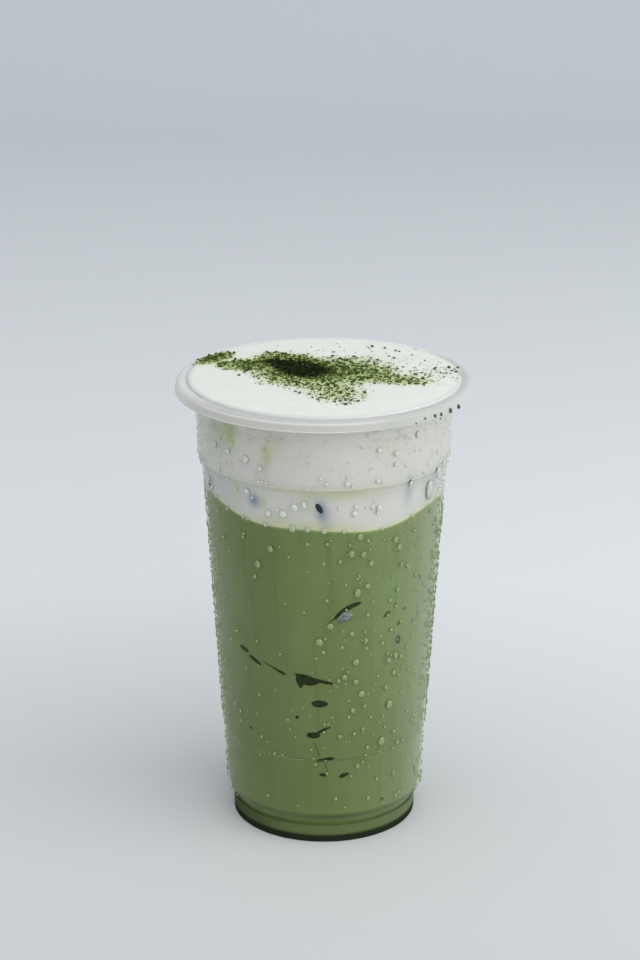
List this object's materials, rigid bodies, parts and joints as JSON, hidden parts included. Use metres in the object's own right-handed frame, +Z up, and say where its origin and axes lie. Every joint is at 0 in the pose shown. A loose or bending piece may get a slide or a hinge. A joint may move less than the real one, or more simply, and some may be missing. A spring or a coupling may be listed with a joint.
{
  "type": "matcha latte",
  "caption": "Iced matcha latte with a thick white milk foam cap dusted with green tea powder, in a tapered clear plastic takeaway cup with a rolled lip.",
  "frame": {"origin": "centre of the cup's foot ring, on the surface that the cup stands on", "axes": "+Z up along the cup's axis; the side with the shown foam edge and ice marks faces -Y"},
  "size_m": [0.095, 0.095, 0.1496],
  "materials": {
    "clear_plastic": "clear, slightly milky moulded plastic, frosted along the lip",
    "matcha_green": "opaque milky green drink",
    "foam_white": "smooth satin milk foam"
  },
  "bodies": {
    "root": {"cup": "clear_plastic", "matcha_latte": "matcha_green", "milk_foam": "foam_white"}
  },
  "joints": []
}
